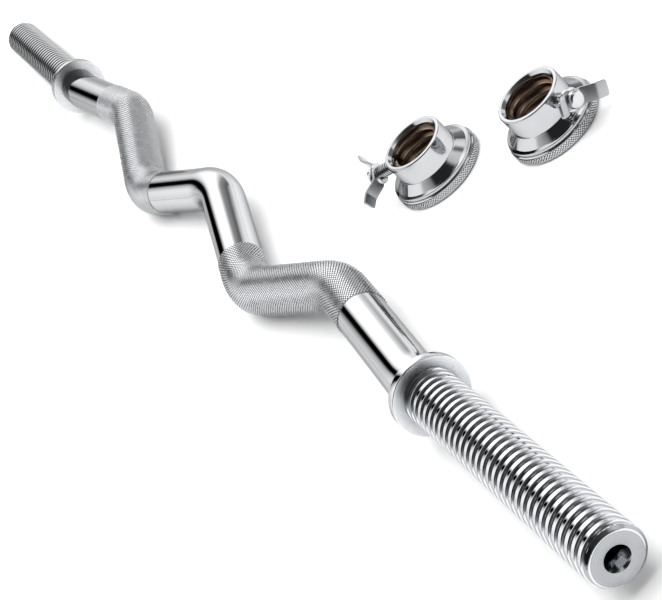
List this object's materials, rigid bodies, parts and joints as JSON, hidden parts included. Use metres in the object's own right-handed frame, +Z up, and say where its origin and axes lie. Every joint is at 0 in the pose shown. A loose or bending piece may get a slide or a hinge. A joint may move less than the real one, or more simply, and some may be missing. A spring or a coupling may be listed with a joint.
{
  "type": "ez curl bar",
  "caption": "Chromed W-bent curl bar with threaded ends, knurled grips and stop collars, beside its loose screw-on lock collars with wing screws.",
  "frame": {"origin": "on the sleeve axis at the outer face of the near stop collar, where the first plate sits", "axes": "+X along the sleeve axis towards the near end, +Z up from the floor"},
  "size_m": [1.012, 0.2182, 0.042],
  "materials": {
    "chrome_bar": "polished chrome, knurled grip zones",
    "chrome_thread": "polished chrome over a rolled thread",
    "chrome_stop": "polished chrome",
    "chrome_collar": "polished chrome, knurled rim",
    "bronze_bush": "bare bronze, dull",
    "zinc_screw": "bright plated",
    "satin_wings": "satin plated sheet"
  },
  "bodies": {
    "bar": {"grip_shaft": "chrome_bar", "near_thread": "chrome_thread", "far_thread": "chrome_thread", "near_stop": "chrome_stop", "far_stop": "chrome_stop"},
    "left_collar": {"left_collar": "chrome_collar", "left_bush": "bronze_bush"},
    "left_screw": {"left_screw": "zinc_screw"},
    "left_wings": {"left_wings": "satin_wings"},
    "right_collar": {"right_collar": "chrome_collar", "right_bush": "bronze_bush"},
    "right_screw": {"right_screw": "zinc_screw"},
    "right_wings": {"right_wings": "satin_wings"}
  },
  "joints": [
    {"name": "left_collar_lift", "type": "slide", "parent": "bar", "child": "left_collar", "axis": [0, 0, 1], "range_m": [0, 0.06]},
    {"name": "left_screw_in", "type": "slide", "parent": "left_collar", "child": "left_screw", "axis": [0.5736, 0.8192, 0], "range_m": [-0.00201, 0.00251]},
    {"name": "left_wing_turn", "type": "hinge", "parent": "left_screw", "child": "left_wings", "pos_m": [-0.19221, 0.07393, -0.0015], "axis": [0.5736, 0.8192, 0], "range_deg": [-576, 720]},
    {"name": "right_collar_lift", "type": "slide", "parent": "bar", "child": "right_collar", "axis": [0, 0, 1], "range_m": [0, 0.06]},
    {"name": "right_screw_in", "type": "slide", "parent": "right_collar", "child": "right_screw", "axis": [-0.9397, -0.342, 0], "range_m": [-0.00201, 0.00251]},
    {"name": "right_wing_turn", "type": "hinge", "parent": "right_screw", "child": "right_wings", "pos_m": [-0.08481, 0.16326, -0.0015], "axis": [-0.9397, -0.342, 0], "range_deg": [-576, 720]}
  ],
  "couplings": [
    {"joint": "left_screw_in", "follows": "left_wing_turn", "m_per_rad": 0.00019894},
    {"joint": "right_screw_in", "follows": "right_wing_turn", "m_per_rad": 0.00019894}
  ]
}
